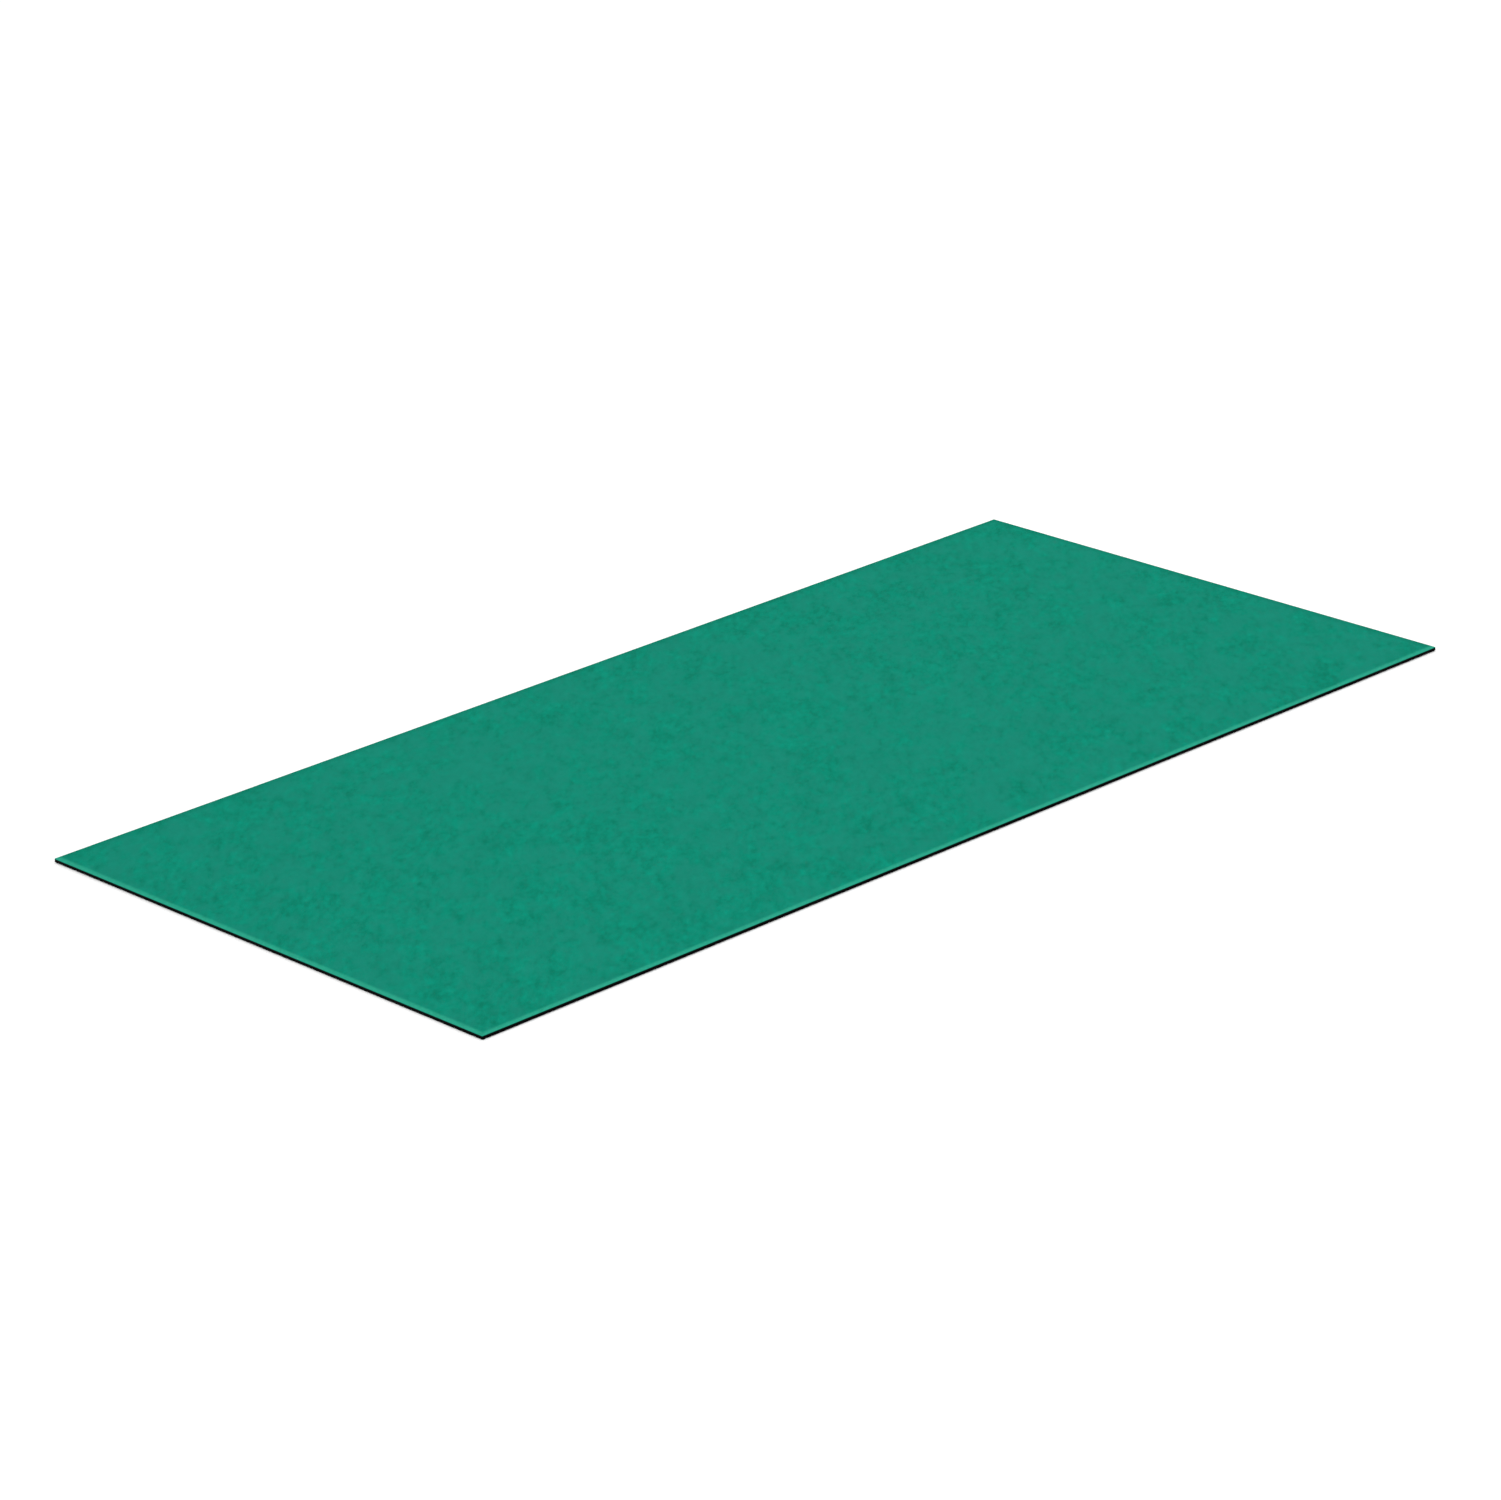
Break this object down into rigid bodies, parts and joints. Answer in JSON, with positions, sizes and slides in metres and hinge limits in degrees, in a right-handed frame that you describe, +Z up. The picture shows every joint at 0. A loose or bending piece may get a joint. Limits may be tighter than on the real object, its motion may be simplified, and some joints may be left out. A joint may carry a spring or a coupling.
{
  "type": "folding poker table top",
  "caption": "Thin flat card table top: a felt playing cloth over rigid boards, hinged across the middle by a cloth tape so that it folds in half with the felt inside.",
  "frame": {"origin": "middle of the length and width, on the surface that the feet stand on", "axes": "+X along the length, +Y across the width from the front edge to the rear edge, +Z up out of the felt"},
  "size_m": [1.8288, 0.9144, 0.0063],
  "materials": {
    "felt_green": "matte",
    "board_hdf": "matte",
    "edge_band_black": "satin",
    "backing_black": "matte",
    "tape_black": "matte",
    "foot_rubber": "matte"
  },
  "bodies": {
    "left_half": {"left_board": "board_hdf", "left_backing": "backing_black", "left_front_edge_band": "edge_band_black", "left_rear_edge_band": "edge_band_black", "left_end_edge_band": "edge_band_black", "left_fold_edge_band": "edge_band_black", "left_hinge_tape": "tape_black", "left_felt": "felt_green", "left_foot_front_outer": "foot_rubber", "left_foot_front_centre": "foot_rubber", "left_foot_front_inner": "foot_rubber", "left_foot_middle_outer": "foot_rubber", "left_foot_middle_centre": "foot_rubber", "left_foot_middle_inner": "foot_rubber", "left_foot_rear_outer": "foot_rubber", "left_foot_rear_centre": "foot_rubber", "left_foot_rear_inner": "foot_rubber"},
    "right_half": {"right_board": "board_hdf", "right_backing": "backing_black", "right_front_edge_band": "edge_band_black", "right_rear_edge_band": "edge_band_black", "right_end_edge_band": "edge_band_black", "right_fold_edge_band": "edge_band_black", "right_hinge_tape": "tape_black", "right_felt": "felt_green", "right_foot_front_outer": "foot_rubber", "right_foot_front_centre": "foot_rubber", "right_foot_front_inner": "foot_rubber", "right_foot_middle_outer": "foot_rubber", "right_foot_middle_centre": "foot_rubber", "right_foot_middle_inner": "foot_rubber", "right_foot_rear_outer": "foot_rubber", "right_foot_rear_centre": "foot_rubber", "right_foot_rear_inner": "foot_rubber"}
  },
  "joints": [
    {"name": "centre_fold", "type": "hinge", "parent": "left_half", "child": "right_half", "pos_m": [0, 0, 0.0064], "axis": [0, -1, 0], "range_deg": [0, 180]}
  ]
}
